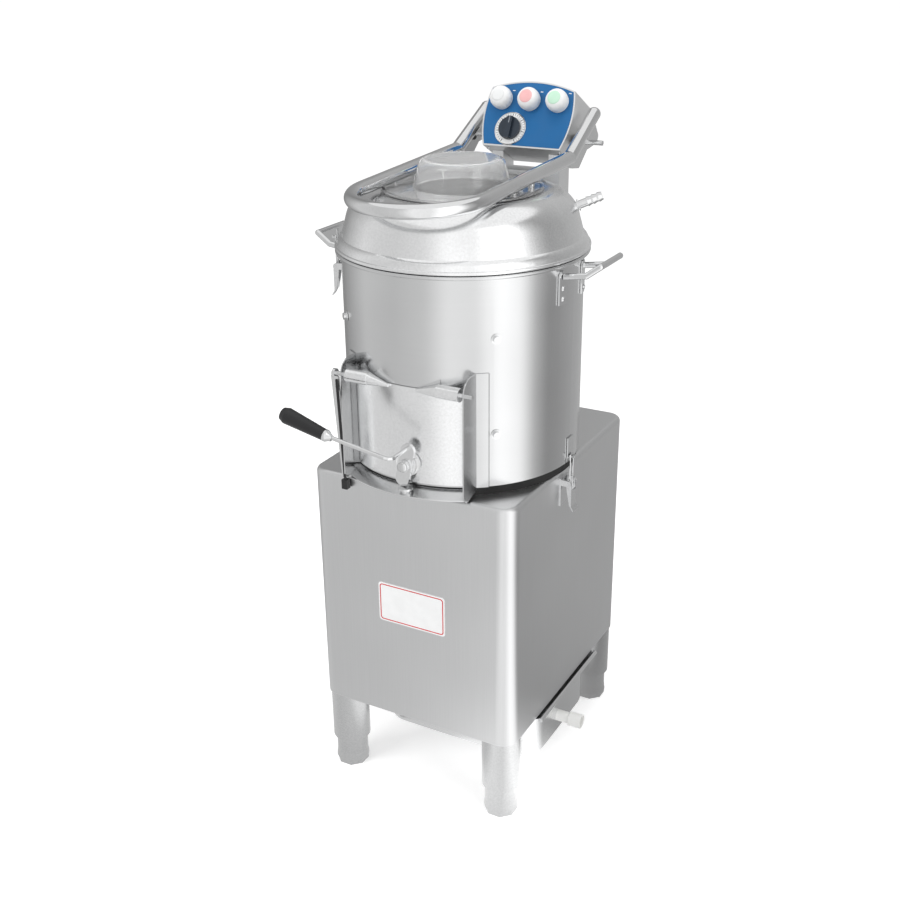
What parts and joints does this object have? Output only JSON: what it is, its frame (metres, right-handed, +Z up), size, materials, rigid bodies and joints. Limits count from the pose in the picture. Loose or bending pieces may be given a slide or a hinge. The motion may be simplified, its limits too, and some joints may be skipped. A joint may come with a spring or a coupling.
{
  "type": "electric potato peeler",
  "caption": "Floor-standing drum peeler for root vegetables with a hinged clear lid, a discharge chute with a latched door, a tilted control head and a pull-out filter tray.",
  "frame": {"origin": "centre of the bounding box's base, on the floor", "axes": "+Z up, -Y out of the front with the discharge door, +X to the side of the drain spout"},
  "size_m": [0.5042, 0.6074, 1.1414],
  "materials": {
    "cabinet_steel": "fine vertical brushing, slightly warm grey",
    "drum_steel": "brushed round the drum",
    "dome_steel": "bright spun finish",
    "tube_steel": "polished",
    "column_steel": "brushed",
    "small_steel": "bright",
    "tray_steel": "satin",
    "frame_steel": "galvanised grey",
    "foot_steel": "satin, slightly dark",
    "abrasive": "coarse abrasive grit",
    "drive_iron": "cast",
    "motor_paint": "grey paint",
    "panel_blue": "satin blue film",
    "label_white": "blank white plate with a thin red border",
    "dial_white": "white",
    "button_white": "translucent white boot",
    "button_red": "translucent pale red boot",
    "button_green": "translucent pale green boot",
    "knob_grey": "dark slate",
    "black_plastic": "black",
    "black_rubber": "black",
    "clear_plastic": "clear polycarbonate",
    "spout_white": "white"
  },
  "bodies": {
    "machine": {"cabinet_housing": "cabinet_steel", "base_frame": "frame_steel", "rear_cover": "cabinet_steel", "legs": "tube_steel", "feet": "foot_steel", "name_plate": "label_white", "drum_shell": "drum_steel", "drum_floor": "drum_steel", "abrasive_liner": "abrasive", "drum_fasteners": "small_steel", "rubber_seals": "black_rubber", "side_handles": "tube_steel", "chute": "drum_steel", "dome_cover": "dome_steel", "water_inlet": "small_steel", "column": "column_steel", "control_head": "column_steel", "control_panel": "panel_blue", "button_collars": "dial_white", "timer_dial": "dial_white", "hinge_bushes": "black_plastic", "latch_fixings": "tube_steel", "motor_body": "motor_paint", "bearing_housing": "drive_iron", "main_bearings": "small_steel", "drive_belt": "black_rubber", "waste_duct": "tray_steel", "switchgear": "black_plastic", "cable_gland": "black_plastic", "cover_screws": "small_steel"},
    "lid": {"lid_frame": "tube_steel", "lid_axle": "small_steel", "lid_shell": "clear_plastic", "lid_seal": "black_rubber"},
    "door": {"door_panel": "drum_steel", "door_pins": "small_steel", "magnet_arm": "drum_steel", "door_magnet": "black_plastic"},
    "latch_lever": {"lever_arm": "tube_steel", "lever_grip": "black_plastic"},
    "tray": {"filter_pan": "tray_steel", "filter_basket": "tray_steel", "drain_spout": "spout_white"},
    "white_button": {"white_button": "button_white"},
    "red_button": {"red_button": "button_red"},
    "green_button": {"green_button": "button_green"},
    "timer_knob": {"timer_knob": "knob_grey"},
    "disc": {"peeling_disc": "abrasive", "main_shaft": "small_steel", "driven_pulley": "drive_iron"},
    "motor_rotor": {"motor_pulley": "drive_iron"},
    "dome_latch_left_lever": {"dome_latch_left_lever": "small_steel"},
    "dome_latch_left_bail": {"dome_latch_left_bail": "small_steel"},
    "dome_latch_rear_lever": {"dome_latch_rear_lever": "small_steel"},
    "dome_latch_rear_bail": {"dome_latch_rear_bail": "small_steel"},
    "base_latch_left_lever": {"base_latch_left_lever": "small_steel"},
    "base_latch_left_bail": {"base_latch_left_bail": "small_steel"},
    "base_latch_right_lever": {"base_latch_right_lever": "small_steel"},
    "base_latch_right_bail": {"base_latch_right_bail": "small_steel"}
  },
  "joints": [
    {"name": "lid_hinge", "type": "hinge", "parent": "machine", "child": "lid", "pos_m": [0, 0.23125, 1.05], "axis": [-1, 0, 0], "range_deg": [0, 95]},
    {"name": "door_hinge", "type": "hinge", "parent": "machine", "child": "door", "pos_m": [0, -0.21175, 0.752], "axis": [-1, 0, 0], "range_deg": [0, 95]},
    {"name": "door_latch", "type": "hinge", "parent": "door", "child": "latch_lever", "pos_m": [0.0095, -0.22275, 0.629], "axis": [0, -1, 0], "range_deg": [0, 60]},
    {"name": "tray_slide", "type": "slide", "parent": "machine", "child": "tray", "axis": [1, 0, 0], "range_m": [0, 0.28]},
    {"name": "white_press", "type": "slide", "parent": "machine", "child": "white_button", "axis": [0, 0.8829, -0.4695], "range_m": [0, 0.004], "stiffness_N_per_m": 900},
    {"name": "red_press", "type": "slide", "parent": "machine", "child": "red_button", "axis": [0, 0.8829, -0.4695], "range_m": [0, 0.004], "stiffness_N_per_m": 900},
    {"name": "green_press", "type": "slide", "parent": "machine", "child": "green_button", "axis": [0, 0.8829, -0.4695], "range_m": [0, 0.004], "stiffness_N_per_m": 900},
    {"name": "timer_turn", "type": "hinge", "parent": "machine", "child": "timer_knob", "pos_m": [-0.0257, 0.19857, 1.06823], "axis": [0, 0.8829, -0.4695], "range_deg": [0, 300]},
    {"name": "disc_spin", "type": "hinge", "parent": "machine", "child": "disc", "pos_m": [0, -0.01975, 0.6], "axis": [0, 0, 1], "continuous": true},
    {"name": "motor_spin", "type": "hinge", "parent": "machine", "child": "motor_rotor", "pos_m": [0, 0.14025, 0.48], "axis": [0, 0, 1], "continuous": true},
    {"name": "dome_latch_left_pull", "type": "hinge", "parent": "machine", "child": "dome_latch_left_lever", "pos_m": [-0.19194, -0.08584, 0.884], "axis": [-0.3256, 0.9455, 0], "range_deg": [0, 110]},
    {"name": "dome_latch_left_swing", "type": "hinge", "parent": "dome_latch_left_lever", "child": "dome_latch_left_bail", "pos_m": [-0.19194, -0.08584, 0.876], "axis": [-0.3256, 0.9455, 0], "range_deg": [-110, 0]},
    {"name": "dome_latch_rear_pull", "type": "hinge", "parent": "machine", "child": "dome_latch_rear_lever", "pos_m": [0.11644, 0.14654, 0.884], "axis": [0.8192, -0.5736, 0], "range_deg": [0, 110]},
    {"name": "dome_latch_rear_swing", "type": "hinge", "parent": "dome_latch_rear_lever", "child": "dome_latch_rear_bail", "pos_m": [0.11644, 0.14654, 0.876], "axis": [0.8192, -0.5736, 0], "range_deg": [-110, 0]},
    {"name": "base_latch_left_pull", "type": "hinge", "parent": "machine", "child": "base_latch_left_lever", "pos_m": [-0.195, -0.01975, 0.556], "axis": [0, 1, 0], "range_deg": [0, 110]},
    {"name": "base_latch_left_swing", "type": "hinge", "parent": "base_latch_left_lever", "child": "base_latch_left_bail", "pos_m": [-0.195, -0.01975, 0.548], "axis": [0, 1, 0], "range_deg": [-110, 0]},
    {"name": "base_latch_right_pull", "type": "hinge", "parent": "machine", "child": "base_latch_right_lever", "pos_m": [0.195, -0.01975, 0.556], "axis": [0, -1, 0], "range_deg": [0, 110]},
    {"name": "base_latch_right_swing", "type": "hinge", "parent": "base_latch_right_lever", "child": "base_latch_right_bail", "pos_m": [0.195, -0.01975, 0.548], "axis": [0, -1, 0], "range_deg": [-110, 0]}
  ],
  "couplings": [
    {"joint": "motor_spin", "follows": "disc_spin", "ratio": 4.2222},
    {"joint": "dome_latch_left_swing", "follows": "dome_latch_left_pull", "ratio": -0.95},
    {"joint": "dome_latch_rear_swing", "follows": "dome_latch_rear_pull", "ratio": -0.95},
    {"joint": "base_latch_left_swing", "follows": "base_latch_left_pull", "ratio": -0.95},
    {"joint": "base_latch_right_swing", "follows": "base_latch_right_pull", "ratio": -0.95}
  ]
}
